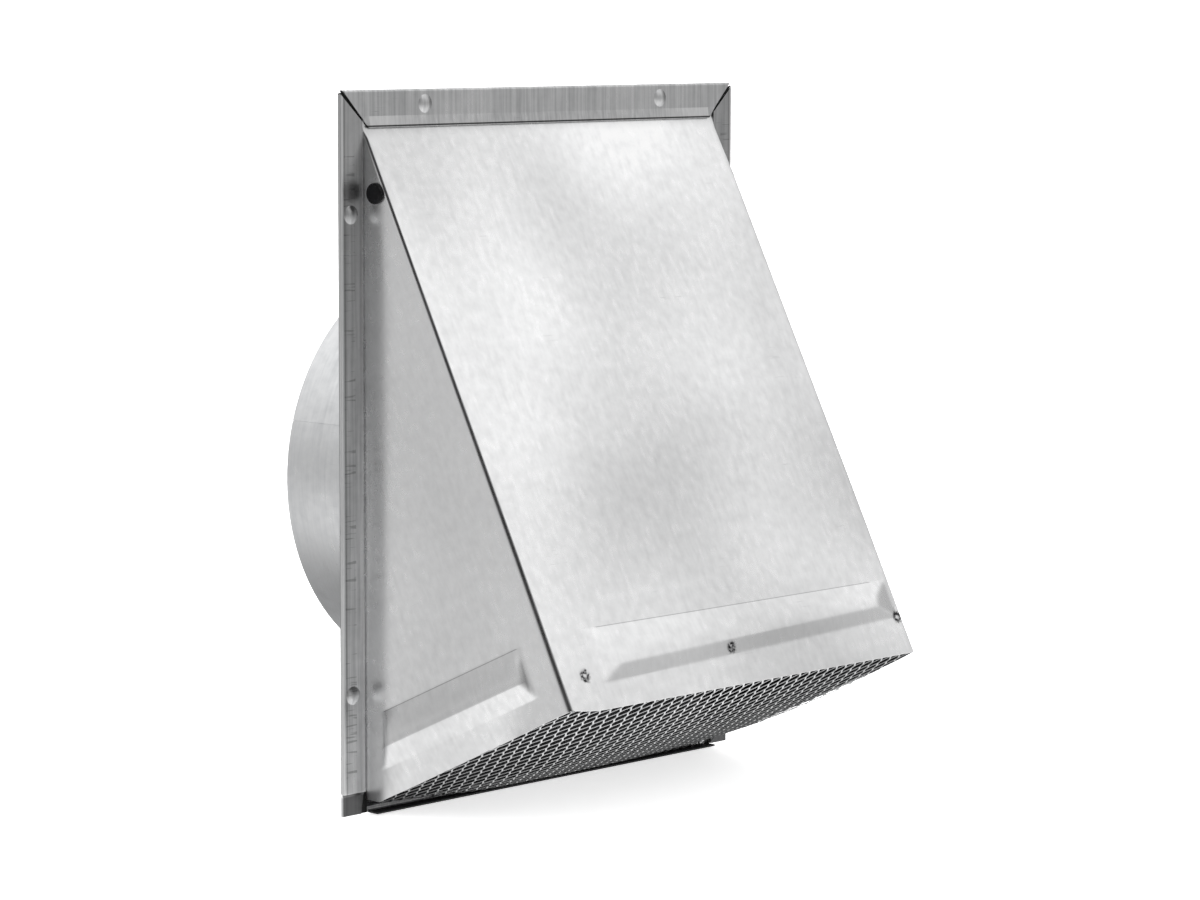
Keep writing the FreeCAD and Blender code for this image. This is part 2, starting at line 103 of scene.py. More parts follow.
# %% Corners and directions of the hood
across = Vector((1, 0, 0))
hood_low, hood_high = (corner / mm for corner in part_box("hood"))
sheet = 0.6
flange_front = hood_high.y - sheet
hood_half = 89.2
flange_edge = hood_high.x
bend_point = Vector((0, flange_front, 127.0))
front_point = Vector((0, hood_low.y, -63.8))
heel_point = Vector((0, flange_front - 7.4, hood_low.z))
slope_length = (front_point - bend_point).length
down_front = (front_point - bend_point).normalized()
front_outward = down_front.cross(across).normalized()
down_side = (heel_point - front_point).normalized()
up_side = Vector((0, -down_side.z, down_side.y))
side_run = (flange_front - front_point.y) / (slope_length * down_side.y)
flange_end = -103.1
flange_bend_radius = 0.5
bend_radius_top = {-1: 1.1, 1: 0.8}
bend_radius_front = {-1: 2.1, 1: 0.6}
print("front panel is", round(slope_length, 1), "mm long")

# %% [markdown]
# ## Pressed beads and slack panels
#
# A real panel isn't flat. A stiffening bead is pressed above each lower edge: it rises gently from a crisp
# upper line to a ridge, and a straight steep facet leads down from there. The front bead stands a little
# askew. The sheet is crowned between its bends and lies in slow waves, which is what bends the reflections,
# and the left front corner was pushed up a little in handling. A sculpt brush could do this by hand. Here
# each is a height over the panel, so that all of them add up.

# %% Heights over the panels
bead_top = 28.3
front_bead_height, front_bead_run, front_bead_foot, front_bead_tilt = 1.35, 5.0, 11.1, 0.032
side_bead_height, side_bead_run, side_bead_foot = 1.75, 6.9, 9.6
front_bead_ends = (-70.0, 87.2)
front_end_runs = (9.0, 10.0)
side_end_run = 3.1
side_bead_back = -10.8
side_bead_front = 12.8
ridge_rounding, line_rounding = 0.15, 0.06
lip_tilt = 0.17
tilt_behind_bend, tilt_before_flange = (10.0, 25.0), (8.0, 16.0)
crown, crown_reach, crown_start, sink_zone = 0.5, 15.0, 12.0, 60.0
wave_height, wave_length, wave_stretch = 0.4, 62.0, 1.5
wave_start_u, wave_start_v, side_wave_shift = -2266.7, 1684.6, 300.0
still_bend, still_top, still_edge = 24.0, 30.0, 12.0
corner_lift, right_bow, corner_reach, lift_zone = 1.7, -1.5, 15.0, 16.0


def soft_ramp(value):
    """Goes from 0 to 1 with a soft start and a soft end."""
    value = min(max(value, 0.0), 1.0)
    return value * value * (3 - 2 * value)


def crisp_ramp(value):
    """Goes from 0 to 1 with a crisp start and a soft end."""
    return math.sin(min(max(value, 0.0), 1.0) * math.pi / 2)


def lesser(a, b, rounding):
    """The smaller of two heights, with the edge between them rounded."""
    blend = min(max(0.5 + 0.5 * (b - a) / rounding, 0.0), 1.0)
    return b + (a - b) * blend - rounding * blend * (1 - blend)


def bead_rise(above_edge, ends, foot, run, height):
    """Height of a bead at a distance above the lower edge, below the slope of its ends."""
    lower = (above_edge - foot) / run
    upper = crisp_ramp((bead_top - above_edge) / (bead_top - foot - run))
    return height * max(0.0, lesser(lesser(lower, ends, ridge_rounding), upper, line_rounding))


def fold_depth(v):
    """Length of the side panel's row at a distance down the slope."""
    return v * side_run


def slack(u, v, to_bend):
    """Waves of a panel, still at its bends and at its upper edge."""
    along_u = (u + wave_start_u) / wave_length
    along_v = (v + wave_start_v) / (wave_stretch * wave_length)
    calm = soft_ramp(to_bend / still_bend) * soft_ramp(v / still_top)
    calm *= soft_ramp((slope_length - v) / still_edge)
    return wave_height * noise.noise(Vector((along_u, along_v, 0.0))) * calm


def crowned(to_bend):
    """How far a panel stands proud at a distance from its bend, as a share."""
    return 1 - max(0.0, 1 - to_bend / crown_reach) ** 2


def bend_offset(v, side):
    """How far a sloping bend stands out from the plane of the front panel."""
    sunk = -crown * soft_ramp(1 - (slope_length - v) / sink_zone)
    return sunk + (crown * soft_ramp(fold_depth(v) / crown_start) if side > 0 else 0.0)


def lifted(v, share, corner, bow=0.0):
    """How far the lower edge is pushed up, at a share of the way back from a front corner."""
    share = min(share, 1.0)
    lift = corner * (1 - share) + 4 * bow * share * (1 - share)
    return lift * soft_ramp((v - slope_length + lift_zone) / lift_zone)


def front_height(x, v):
    above_edge = slope_length - v
    to_bend = hood_half - abs(x)
    ends = min((x - front_bead_ends[0]) / front_end_runs[0], (front_bead_ends[1] - x) / front_end_runs[1])
    foot = front_bead_foot + front_bead_tilt * x
    return bead_rise(above_edge, ends, foot, front_bead_run, front_bead_height) + slack(x, v, to_bend)


def side_height(point, v, to_bend):
    above_edge = (point - heel_point).dot(up_side)
    from_front = (front_point - point).dot(front_outward) - side_bead_front
    ends = min(from_front, side_bead_back - point.y) / side_end_run
    to_back = flange_front - point.y
    start, run = tilt_behind_bend
    end, fade = tilt_before_flange
    tilt = lip_tilt * soft_ramp((to_bend - start) / run) * soft_ramp((to_back - end) / fade)
    curl = tilt * max(0.0, side_bead_foot - above_edge)
    stand = crown * crowned(to_bend) * crowned(to_back)
    bead = bead_rise(above_edge, ends, side_bead_foot, side_bead_run, side_bead_height)
    return bead + slack(side_wave_shift + to_bend, v, min(to_bend, to_back)) + stand - curl


print("bead on the front panel:", round(front_bead_ends[1] - front_bead_ends[0], 1), "mm long")

# %% [markdown]
# ## The sheet as rows and columns
#
# One grid follows the blank from flange to flange: across the left flange, round its bend, over the side
# panel, round the long sloping bend, across the front, and the same again on the right. Every row runs
# parallel to the lower edge, so the beads get the close rows that they need. A second set of numbers
# travels with each point: where it lay on the flat blank. The finish uses it later, so that the grain of
# the metal turns the bends with the sheet. A third number is a slow noise, for wide cloudy patches.

# %% Build one row of the blank
side_columns = 72
front_columns = 116
arc_steps, flange_arc_steps, flange_columns = 8, 5, 3


def side_points(v, side):
    """Points from the sloping bend to the flange's edge, each with its place on the flat blank."""
    depth = fold_depth(v)
    share = v / slope_length
    ease = soft_ramp(depth / crown_start)
    radius = bend_radius_top[side] + (bend_radius_front[side] - bend_radius_top[side]) * share
    radius = min(radius, 0.5 * depth)
    small = min(flange_bend_radius, 0.3 * depth)
    centre = bend_point + down_front * v + front_outward * (bend_offset(v, side) - radius)
    corner, bow = (corner_lift, 0.0) if side < 0 else (0.0, right_bow)
    made = []
    for step in range(1, arc_steps):
        turn = math.pi / 2 * step / arc_steps
        x = hood_half - radius + radius * math.sin(turn)
        point = centre + front_outward * (radius * math.cos(turn)) - down_front * lifted(v, 0.0, corner)
        made.append((point, x, radius * turn))
    back = flange_front - small
    run = (back - centre.y) / down_side.y
    blank = radius * math.pi / 2
    for column in range(side_columns + 1):
        along = run * (0.5 - 0.5 * math.cos(math.pi * column / side_columns))
        point = centre + down_side * along
        rise = side_height(point, v, along) * ease
        raised = lifted(v, along / run, corner, bow)
        made.append((point - down_front * raised, hood_half + rise, blank + along))
    level_z = made[-1][0].z
    for step in range(1, flange_arc_steps + 1):
        turn = math.pi / 2 * step / flange_arc_steps
        point = Vector((0, back + small * math.sin(turn), level_z))
        made.append((point, hood_half + small * (1 - math.cos(turn)), blank + run + small * turn))
    for step in range(1, flange_columns + 1):
        x = hood_half + small + (flange_edge - hood_half - small) * step / flange_columns
        point = Vector((0, flange_front, level_z))
        made.append((point, x, blank + run + small * math.pi / 2 + x - hood_half))
    return [(Vector((side * x, p.y, p.z)), side * (hood_half - radius + far)) for p, x, far in made], radius


def blank_row(v):
    """All points of a row from the left flange to the right one."""
    left, left_radius = side_points(v, -1)
    right, right_radius = side_points(v, 1)
    edge = bend_point + down_front * v + front_outward * bend_offset(v, -1)
    ease = soft_ramp(fold_depth(v) / crown_start)
    low, high = left_radius - hood_half, hood_half - right_radius
    front = []
    for column in range(front_columns + 1):
        x = low + (high - low) * column / front_columns
        rise = front_height(x, v) + crown * crowned(x - low) * ease
        share = min((x - low) / corner_reach, 1.0)
        raised = lifted(v, share, corner_lift) * (1 - share)
        front.append((edge + across * x + front_outward * rise - down_front * raised, x))
    return left[::-1] + front + right, len(left)


print("columns:", len(blank_row(100.0)[0]))

# %% Choose the rows
coarse_row, fine_row, fine_zone = 4.4, 0.55, 32.0
row_places = [coarse_row * k for k in range(int((slope_length - fine_zone) / coarse_row) + 1)]
start = row_places[-1]
fine_rows = math.ceil((slope_length - start) / fine_row)
row_places += [start + (slope_length - start) * (k + 1) / fine_rows for k in range(fine_rows)]
crease = slope_length - bead_top
side_ridge = slope_length - side_bead_foot - side_bead_run
line_clearance, line_step = 0.45, 0.25
for line in (crease, side_ridge, slope_length - side_bead_foot):
    row_places = [v for v in row_places if abs(v - line) > line_clearance]
    row_places += [line - line_step, line, line + line_step]
row_places.sort()
print("rows:", len(row_places))

# %% Lay the rows together
cloud_start_u, cloud_start_v, cloud_width, cloud_length, side_cloud_share = 3194.3, -3399.4, 62.0, 70.0, 0.4
crease_inset_left, crease_inset_right = 4.0, 9.0
# Painted shade: a dark line along the upper line of each bead, and a dark band that fades upwards above the
# side bead's ridge. The same number on the points carries the spot marks' burns.
crease_shade, ridge_shade, ridge_fade = 0.5, 0.22, 2.6
top_flange = 11.0
blank = bmesh.new()
flat_place = blank.verts.layers.float_vector.new("flat_place")
burns_and_shade = blank.verts.layers.float.new("burns_and_shade")
clouds = blank.verts.layers.float.new("clouds")


def blank_vert(point, u, v):
    vert = blank.verts.new(point * mm)
    vert[flat_place] = Vector((u, v, 0)) * mm
    along_u, along_v = (u + cloud_start_u) / cloud_width, (v + cloud_start_v) / cloud_length
    cloud = noise.noise(Vector((along_u, along_v, 0.0)))
    vert[clouds] = cloud if abs(u) < hood_half else side_cloud_share * cloud
    return vert


grid = []
for v in row_places:
    row, first_front = blank_row(v)
    grid.append([blank_vert(point, u, v) for point, u in row])
    for vert, (point, u) in zip(grid[-1], row):
        on_front = front_bead_ends[0] + crease_inset_left < u < front_bead_ends[1] - crease_inset_right
        on_side = abs(u) > hood_half + side_bead_front and point.y < side_bead_back
        if v == crease and (on_front or on_side):
            vert[burns_and_shade] = crease_shade
        elif on_side and side_ridge - ridge_fade < v < side_ridge:
            vert[burns_and_shade] = ridge_shade * (1 - (side_ridge - v) / ridge_fade)
last_front = first_front + front_columns
top_edge = []
for vert in grid[0][first_front:last_front + 1]:
    x = vert.co.x / mm
    top_edge.append(blank_vert(Vector((x, flange_front, hood_high.z)), x, -top_flange))
for upper, lower in zip(grid, grid[1:]):
    for k in range(len(upper) - 1):
        blank.faces.new((upper[k], lower[k], lower[k + 1], upper[k + 1]))
for k in range(front_columns):
    a, b = grid[0][first_front + k], grid[0][first_front + k + 1]
    blank.faces.new((top_edge[k], a, b, top_edge[k + 1]))
print("blank laid out:", len(blank.faces), "faces")

# %% Trim the blank
bmesh.ops.remove_doubles(blank, verts=blank.verts[:], dist=0.004 * mm)
bmesh.ops.dissolve_degenerate(blank, dist=0.002 * mm, edges=blank.edges[:])
whole = blank.verts[:] + blank.edges[:] + blank.faces[:]
bmesh.ops.bisect_plane(blank, geom=whole, plane_co=(0, 0, hood_low.z * mm), plane_no=(0, 0, -1),
                       clear_outer=True)
bend_start = (flange_front - flange_bend_radius) * mm
spare = []
for face in blank.faces:
    place = face.calc_center_median()
    if place.y > bend_start and place.z < flange_end * mm:
        spare.append(face)
bmesh.ops.delete(blank, geom=spare, context="FACES")
print("blank trimmed:", len(blank.faces), "faces")

# %% [markdown]
# ## Spot marks
#
# Three spot fixings hold the screen's tab from inside and leave a small burnt ring each. The grid is too
# open for that, so the few faces round each one are divided again before the ring is pressed in. The
# colour of the ring goes into a number on the points, which the finish reads.

# %% Press the spot marks
spot_places = ((-77.2, 12.4), (-4.2, 13.4), (87.0, 13.8))
spot_reach = 3.8
ring_radius, ring_width, ring_depth = 1.4, 0.8, 0.16
ring_uneven, uneven_scale = 0.3, 0.9
burn_level, burn_uneven, burn_scale = 0.95, 1.3, 1.5
clear_of_bend, kept_bend = 0.9, 0.6
for x, spot_height in spot_places:
    middle = (front_point - down_front * spot_height + across * x) * mm
    near = []
    for face in blank.faces:
        place = face.calc_center_median()
        if (place - middle).length < spot_reach * mm and abs(place.x) < (hood_half - clear_of_bend) * mm:
            near.append(face)
    edges = {e for f in near for e in f.edges}
    bmesh.ops.subdivide_edges(blank, edges=list(edges), cuts=4, use_grid_fill=True)
    for vert in blank.verts:
        away = (vert.co - middle).length / mm
        if away < spot_reach and abs(vert.co.x) < (hood_half - kept_bend) * mm:
            uneven = 1 + ring_uneven * noise.noise(vert.co / mm * uneven_scale)
            ring = math.exp(-((away - ring_radius * uneven) / ring_width) ** 2)
            vert.co += front_outward * (-ring_depth * ring * mm)
            burn = ring * (burn_level + burn_uneven * noise.noise(vert.co / mm * burn_scale))
            vert[burns_and_shade] = min(1.0, max(0.0, burn))
print("spot marks at", spot_places)

# %% [markdown]
# ## Thickness and hinge holes
#
# Solidify grows the sheet inwards and gives its inner side a material of its own, painted near black as
# shade. The two holes for the hinge caps are drilled last, with one Boolean, as on the bench.

# %% Thicken the sheet
def new_object(name, mesh):
    made = bpy.data.objects.new(name, mesh)
    scene.collection.objects.link(made)
    return made


def settle(piece):
    """Puts what the modifiers make into the piece's own mesh."""
    graph = bpy.context.evaluated_depsgraph_get()
    made = bpy.data.meshes.new_from_object(piece.evaluated_get(graph))
    piece.modifiers.clear()
    piece.data = made


bmesh.ops.recalc_face_normals(blank, faces=blank.faces[:])
on_front_panel = (bend_point + front_point) / 2 * mm
front_face = min(blank.faces, key=lambda f: (f.calc_center_median() - on_front_panel).length)
if front_face.normal.y > 0:
    bmesh.ops.reverse_faces(blank, faces=blank.faces[:])
hood_mesh = bpy.data.meshes.new("hood_sheet")
blank.to_mesh(hood_mesh)
blank.free()
hood_sheet = new_object("hood_sheet", hood_mesh)
hood_skins = [bpy.data.materials.new("hood_aluminium"), bpy.data.materials.new("inner_painted_shade")]
for skin in hood_skins:
    hood_mesh.materials.append(skin)
thickness = hood_sheet.modifiers.new("thickness", "SOLIDIFY")
thickness.thickness = sheet * mm
thickness.offset = -1.0
thickness.use_even_offset = True
thickness.material_offset = 1
settle(hood_sheet)
print("hood sheet is", sheet, "mm thick")

# %% Drill the hinge holes
hinge = Vector(frame["record"]["behaviour"]["joints"][0]["pos_m"])
drill = bmesh.new()
hole_radius, drill_length = 2.7 * mm, 0.3
turned = Matrix.Translation(hinge) @ Matrix.Rotation(math.pi / 2, 4, "Y")
bmesh.ops.create_cone(drill, cap_ends=True, segments=40, radius1=hole_radius, radius2=hole_radius,
                      depth=drill_length, matrix=turned)
drill_mesh = bpy.data.meshes.new("drill")
drill.to_mesh(drill_mesh)
drill.free()
drill_bit = new_object("drill", drill_mesh)
holes = hood_sheet.modifiers.new("holes", "BOOLEAN")
holes.operation = "DIFFERENCE"
holes.solver = "EXACT"
holes.object = drill_bit
settle(hood_sheet)
bpy.data.objects.remove(drill_bit)
hood_sheet.data.shade_smooth()
hood_sheet.data.set_sharp_from_angle(angle=math.radians(42))
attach(hood_sheet, "cap")
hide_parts("hood")
print("hood sheet:", len(hood_sheet.data.polygons), "faces")

# %% [markdown]
# ## The surface of the screen
#
# One strip of expanded metal starts as a tab inside the front panel, turns under the panel's edge, runs
# back and ends flat on the plate's lip. It isn't quite flat: it sags in the middle, follows the pushed-up
# edge on the left, and stands off the lip at the back on the right. It could be bent with a curve
# modifier, but the three stretches are simple enough to write as one function: distance along the strip
# in, place and outward direction out.

# %% Follow the screen from tab to lip
screen_sheet = 0.8
tab_height = 17.0
rear_tab = 4.6
lip_depth = 6.0
half_width = 88.2
sag_left, sag_middle, sag_right = 0.3, 2.6, 1.8
hug_front, hug_back, hug_reach, right_lift = 1.7, 2.4, 60.0, 2.5
screen_front = front_point - front_outward * sheet
screen_rear = Vector((0, -lip_depth, cad_box[0][2] / mm + sheet))
chord = screen_rear - screen_front
floor_length = chord.length
back_run = chord.normalized()
below = Vector((0, back_run.z, -back_run.y))


def screen_place(x, v):
    """Outer surface of the screen at distance v behind its front fold, and the direction out of it."""
    if v < 0:
        return screen_front + down_front * v, front_outward.copy()
    hug = 1 - soft_ramp((x + half_width) / hug_reach)
    if v > floor_length:
        return screen_rear + Vector((0, v - floor_length, hug_back * hug)), Vector((0, 0, -1))
    share = v / floor_length
    off = x / half_width
    sag = sag_middle + off * (sag_right - sag_left) / 2 + off * off * ((sag_right + sag_left) / 2 - sag_middle)
    drop = 4 * sag * share * (1 - share) - right_lift * (max(0.0, off) * share) ** 2
    drop -= (hug_front + (hug_back - hug_front) * share) * hug
    slope = 4 * sag * (1 - 2 * share) / floor_length
    out = (below - back_run * slope).normalized()
    return screen_front + back_run * v + below * drop, out


print("screen floor is", round(floor_length, 1), "mm long")

# %% [markdown]
# ## The diamonds
#
# Expanded metal is a sheet that is slit in staggered rows and pulled, so each slit opens to a diamond and
# the strands between them twist out of the plane. An array modifier on one diamond would do, but its
# copies would have to be merged. Here every hole has six corners: one at its front, one at its back and
# two on each side, where the long bond to the next hole lies. Strands and bonds are faces on those
# corners, so the lattice is one clean mesh from the start. One side of a hole is lifted and the other
# lowered, which gives the twist. The thin strip was pulled out of square when it was folded in, so its
# rows are skewed.

# %% Weave the lattice of strands and bonds
diamond_width = 5.0
diamond_row = 5.73
skew = 0.2
strand = 0.75
bond_half = 0.95
twist = -0.03
strand_across, strand_along = 0.55, 0.9
skewed_length = 120
hole_half_width = diamond_width / 2 - strand * strand_across
hole_half_length = diamond_row - bond_half - strand * strand_along
columns = math.ceil((half_width + skew * skewed_length) / diamond_width) + 1
first_row = -math.floor(tab_height / diamond_row)
last_row = math.ceil((floor_length + rear_tab) / diamond_row)

lattice = bmesh.new()
corners = {}


def hole_corner(column, row, corner):
    """Corner of a hole: F and B are its front and back, R and L its sides, each with a - or + end."""
    key = (column, row, corner)
    if key not in corners:
        x = (column + 0.5 * (row % 2)) * diamond_width
        v = row * diamond_row
        lift = 0.0
        if corner[0] in "RL":
            side = 1 if corner[0] == "R" else -1
            x += side * hole_half_width
            v += bond_half * (1 if corner[1] == "+" else -1)
            lift = side * twist
        else:
            v += hole_half_length * (1 if corner == "B" else -1)
        x += skew * v
        point, out = screen_place(x, v)
        point = point - out * (screen_sheet / 2 + lift)
        corners[key] = lattice.verts.new((across * x + point) * mm)
    return corners[key]


def strand_face(*places):
    lattice.faces.new([hole_corner(*place) for place in places])


for row in range(first_row, last_row + 1):
    for column in range(-columns, columns + 1):
        right = column + row % 2
        left = right - 1
        ahead = (column, row)
        beside_right, beside_left, behind = (right, row + 1), (left, row + 1), (column, row + 2)
        strand_face((*ahead, "R+"), (*beside_right, "F"), (*beside_right, "L-"), (*ahead, "B"))
        strand_face((*ahead, "B"), (*beside_left, "R-"), (*beside_left, "F"), (*ahead, "L+"))
        strand_face((*ahead, "B"), (*beside_right, "L-"), (*beside_right, "L+"), (*behind, "F"),
                    (*beside_left, "R+"), (*beside_left, "R-"))
print("lattice:", len(lattice.faces), "strands and bonds")

# %% [markdown]
# ## Cut to size and given its thickness
#
# The maker shears the strip with no regard for the diamonds, so its sides are raw stubs. Bisecting the
# lattice along the shear lines does the same. Solidify then gives the strands their thickness, and a fine
# bevel rounds them enough to catch the light.

# %% Shear the strip
def shear(place, outward):
    everything = lattice.verts[:] + lattice.edges[:] + lattice.faces[:]
    bmesh.ops.bisect_plane(lattice, geom=everything, plane_co=place, plane_no=outward, clear_outer=True)


shear(across * (half_width * mm), across)
shear(across * (-half_width * mm), -across)
shear((screen_rear + Vector((0, rear_tab, 0))) * mm, Vector((0, 1, 0)))
shear((screen_front - down_front * tab_height) * mm, -down_front)
bmesh.ops.recalc_face_normals(lattice, faces=lattice.faces[:])
screen_mesh = bpy.data.meshes.new("expanded_screen")
lattice.to_mesh(screen_mesh)
lattice.free()
expanded_screen = new_object("expanded_screen", screen_mesh)
print("screen strip cut to", 2 * half_width, "mm")

# %% Thicken the strands
strand_thickness, strand_rounding = 0.25, 0.05
strand_depth = expanded_screen.modifiers.new("strand_depth", "SOLIDIFY")
strand_depth.thickness = strand_thickness * mm
strand_depth.offset = 0.0
strand_depth.use_even_offset = False
rounding = expanded_screen.modifiers.new("rounding", "BEVEL")
rounding.width = strand_rounding * mm
rounding.segments = 1
rounding.limit_method = "ANGLE"
rounding.angle_limit = math.radians(50)
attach(expanded_screen, "cap")
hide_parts("bird_screen")
print("strands are", strand, "mm wide and", strand_thickness, "mm thick")

# %% [markdown]
# ## Mill aluminium
#
# Bare sheet straight from the rolling mill: a soft grey metal with a fine grain along the rolling
# direction, cloudy patches where the skin is a little rougher, and short handling scratches. A photograph
# of such a sheet would fix one light for ever, so all of it is noise in the shader: stretched noise is the
# grain, wide noise the clouds.

# %% Helpers for the finishes
nodes_in_column, column_width, node_drop = 8, 220, 260


def node(tree, kind, **values):
    """Adds a node. Nodes are set out in columns, in the order in which they are made."""
    column, row = divmod(len(tree.nodes), nodes_in_column)
    made = tree.nodes.new(kind)
    made.location = (column * column_width, -row * node_drop)
    for name, value in values.items():
        setattr(made, name, value)
    return made


def object_place(tree):
    return node(tree, "ShaderNodeTexCoord").outputs["Object"]


def carried(tree, name, output):
    """A number that travels with the points of a mesh."""
    return node(tree, "ShaderNodeAttribute", attribute_name=name).outputs[output]


def axes(tree, place):
    made = node(tree, "ShaderNodeSeparateXYZ")
    tree.links.new(place, made.inputs[0])
    return made.outputs


def stretched_noise(tree, place, scale, detail):
    """Noise whose cells are stretched: scale gives cells per metre along X, Y and Z."""
    stretch = node(tree, "ShaderNodeMapping")
    stretch.inputs["Scale"].default_value = scale
    cells = node(tree, "ShaderNodeTexNoise")
    cells.inputs["Scale"].default_value = 1.0
    cells.inputs["Detail"].default_value = detail
    tree.links.new(place, stretch.inputs["Vector"])
    tree.links.new(stretch.outputs["Vector"], cells.inputs["Vector"])
    return cells.outputs["Fac"]


def span(tree, value, low, high, to_low, to_high):
    """Stretches a value's useful range to another range."""
    reach = node(tree, "ShaderNodeMapRange")
    limits = {"From Min": low, "From Max": high, "To Min": to_low, "To Max": to_high}
    for name, limit in limits.items():
        reach.inputs[name].default_value = limit
    tree.links.new(value, reach.inputs["Value"])
    return reach.outputs["Result"]


def sums(tree, operation, a, b):
    made = node(tree, "ShaderNodeMath", operation=operation)
    for value, socket in zip((a, b), made.inputs):
        if isinstance(value, (int, float)):
            socket.default_value = value
        else:
            tree.links.new(value, socket)
    return made.outputs[0]


print("number helpers ready")

# %% Helpers for colour and relief
def two_tone(tree, value, dark, light, low=0.0, high=1.0):
    """A colour between two tones, by a value's place between low and high."""
    ramp = node(tree, "ShaderNodeValToRGB")
    for stop, position, tone in zip(ramp.color_ramp.elements, (low, high), (dark, light)):
        stop.position = position
        stop.color = (*tone, 1)
    tree.links.new(value, ramp.inputs["Fac"])
    return ramp.outputs["Color"]


def scaled(tree, colour, factor):
    """A colour made lighter or darker by a factor."""
    made = node(tree, "ShaderNodeVectorMath", operation="SCALE")
    tree.links.new(colour, made.inputs[0])
    tree.links.new(factor, made.inputs["Scale"])
    return made.outputs["Vector"]


def mix_towards(tree, colour, amount, tone):
    """Mixes a colour towards a tone by an amount from 0 to 1."""
    mix = node(tree, "ShaderNodeMix", data_type="RGBA")
    mix.inputs["B"].default_value = (*tone, 1)
    tree.links.new(amount, mix.inputs["Factor"])
    tree.links.new(colour, mix.inputs["A"])
    return mix.outputs["Result"]


def relief(tree, height, depth, below_it=None):
    """Bump of a given depth in metres, on top of an earlier one."""
    bump = node(tree, "ShaderNodeBump")
    bump.inputs["Strength"].default_value = 1.0
    bump.inputs["Distance"].default_value = depth
    tree.links.new(height, bump.inputs["Height"])
    if below_it is not None:
        tree.links.new(below_it, bump.inputs["Normal"])
    return bump.outputs["Normal"]


def bare(name):
    return bpy.data.materials.new(name)


def open_finish(finish):
    finish.use_nodes = True
    return finish.node_tree, finish.node_tree.nodes["Principled BSDF"]


print("colour helpers ready")

# %% Mix the aluminium
cloud_cells, cloud_share = (16, 16, 16), 0.4
mottle_cells, patch_cells = (300, 240, 300), (45, 45, 45)
tick_cells, blank_tick_cells = (90, 90, 2400), (90, 2400, 2400)
tick_range, patch_range, tone_range = (0.66, 0.74), (0.52, 0.66), (0.36, 0.64)
tick_share = 0.2
grain_depth, mottle_depth, tick_depth = 0.010 * mm, 0.012 * mm, 0.020 * mm


def mill_aluminium(finish, grain, dark, light, rough_low, rough_high, grain_share, flat=False):
    """Bare sheet. Grain gives the stretched noise's cells per metre, low along the rolling direction.

    A sheet that carries its flat blank's places takes its grain from there.
    """
    tree, shader = open_finish(finish)
    place = carried(tree, "flat_place", "Vector") if flat else object_place(tree)
    fine = stretched_noise(tree, place, grain, 3.0)
    cloud = stretched_noise(tree, place, cloud_cells, 4.0)
    mottle = stretched_noise(tree, place, mottle_cells, 5.0)
    ticks = stretched_noise(tree, place, blank_tick_cells if flat else tick_cells, 2.0)
    patch = stretched_noise(tree, place, patch_cells, 2.0)
    rare = sums(tree, "MULTIPLY", span(tree, ticks, *tick_range, 0, 1), span(tree, patch, *patch_range, 0, 1))
    wide = sums(tree, "ADD", sums(tree, "MULTIPLY", cloud, cloud_share),
                sums(tree, "MULTIPLY", mottle, 1 - cloud_share - grain_share))
    tone = sums(tree, "ADD", wide, sums(tree, "MULTIPLY", fine, grain_share))
    tone = sums(tree, "SUBTRACT", tone, sums(tree, "MULTIPLY", rare, tick_share))
    colour = two_tone(tree, tone, dark, light, *tone_range)
    skin = relief(tree, fine, grain_depth)
    skin = relief(tree, mottle, mottle_depth, skin)
    skin = relief(tree, rare, -tick_depth, skin)
    tree.links.new(colour, shader.inputs["Base Color"])
    tree.links.new(span(tree, tone, *tone_range, rough_high, rough_low), shader.inputs["Roughness"])
    tree.links.new(skin, shader.inputs["Normal"])
    shader.inputs["Metallic"].default_value = 1.0
    return finish, tree, shader, colour


# Painted shade: the damper flap hangs inside the hood, and its metal is coloured near black for the shade
# there.
flap_shade_skin = mill_aluminium(bare("flap_painted_shade"), (700, 700, 30), (0.05, 0.05, 0.052), (0.09, 0.09, 0.092),
                           0.42, 0.55, 0.3)[0]
collar_skin = mill_aluminium(bare("collar_aluminium"), (60, 700, 60), (0.70, 0.71, 0.72), (0.86, 0.865, 0.87),
                             0.26, 0.40, 0.3)[0]
print("finishes:", flap_shade_skin.name, collar_skin.name)

# %% Finish the hood and the screen
blank_grain = (620, 110, 110)
burn_and_shade_black = (0.03, 0.03, 0.032)
cloud_dark, cloud_light = 0.64, 1.36
hood_skin, hood_tree, hood_shader, hood_colour = mill_aluminium(
    hood_skins[0], blank_grain, (0.77, 0.772, 0.775), (0.90, 0.902, 0.905), 0.24, 0.36, 0.2, flat=True)
cloudy = span(hood_tree, carried(hood_tree, "clouds", "Fac"), -1, 1, cloud_dark, cloud_light)
# The spot marks' burns and the painted shade along the bead lines darken the colour towards near black.
burn_and_shade_amount = carried(hood_tree, "burns_and_shade", "Fac")
marked = mix_towards(hood_tree, scaled(hood_tree, hood_colour, cloudy), burn_and_shade_amount, burn_and_shade_black)
hood_tree.links.new(marked, hood_shader.inputs["Base Color"])
# Painted shade: the inner side of the hood is coloured near black for the shade inside the hood.
inner_shade_skin = mill_aluminium(hood_skins[1], blank_grain, (0.03, 0.03, 0.032), (0.055, 0.055, 0.057),
                            0.50, 0.62, 0.2, flat=True)[0]

screen_skin, screen_tree, screen_shader, screen_colour = mill_aluminium(
    bare("screen_strands"), (300, 300, 300), (0.50, 0.51, 0.52), (0.78, 0.785, 0.79), 0.28, 0.42, 0.2)
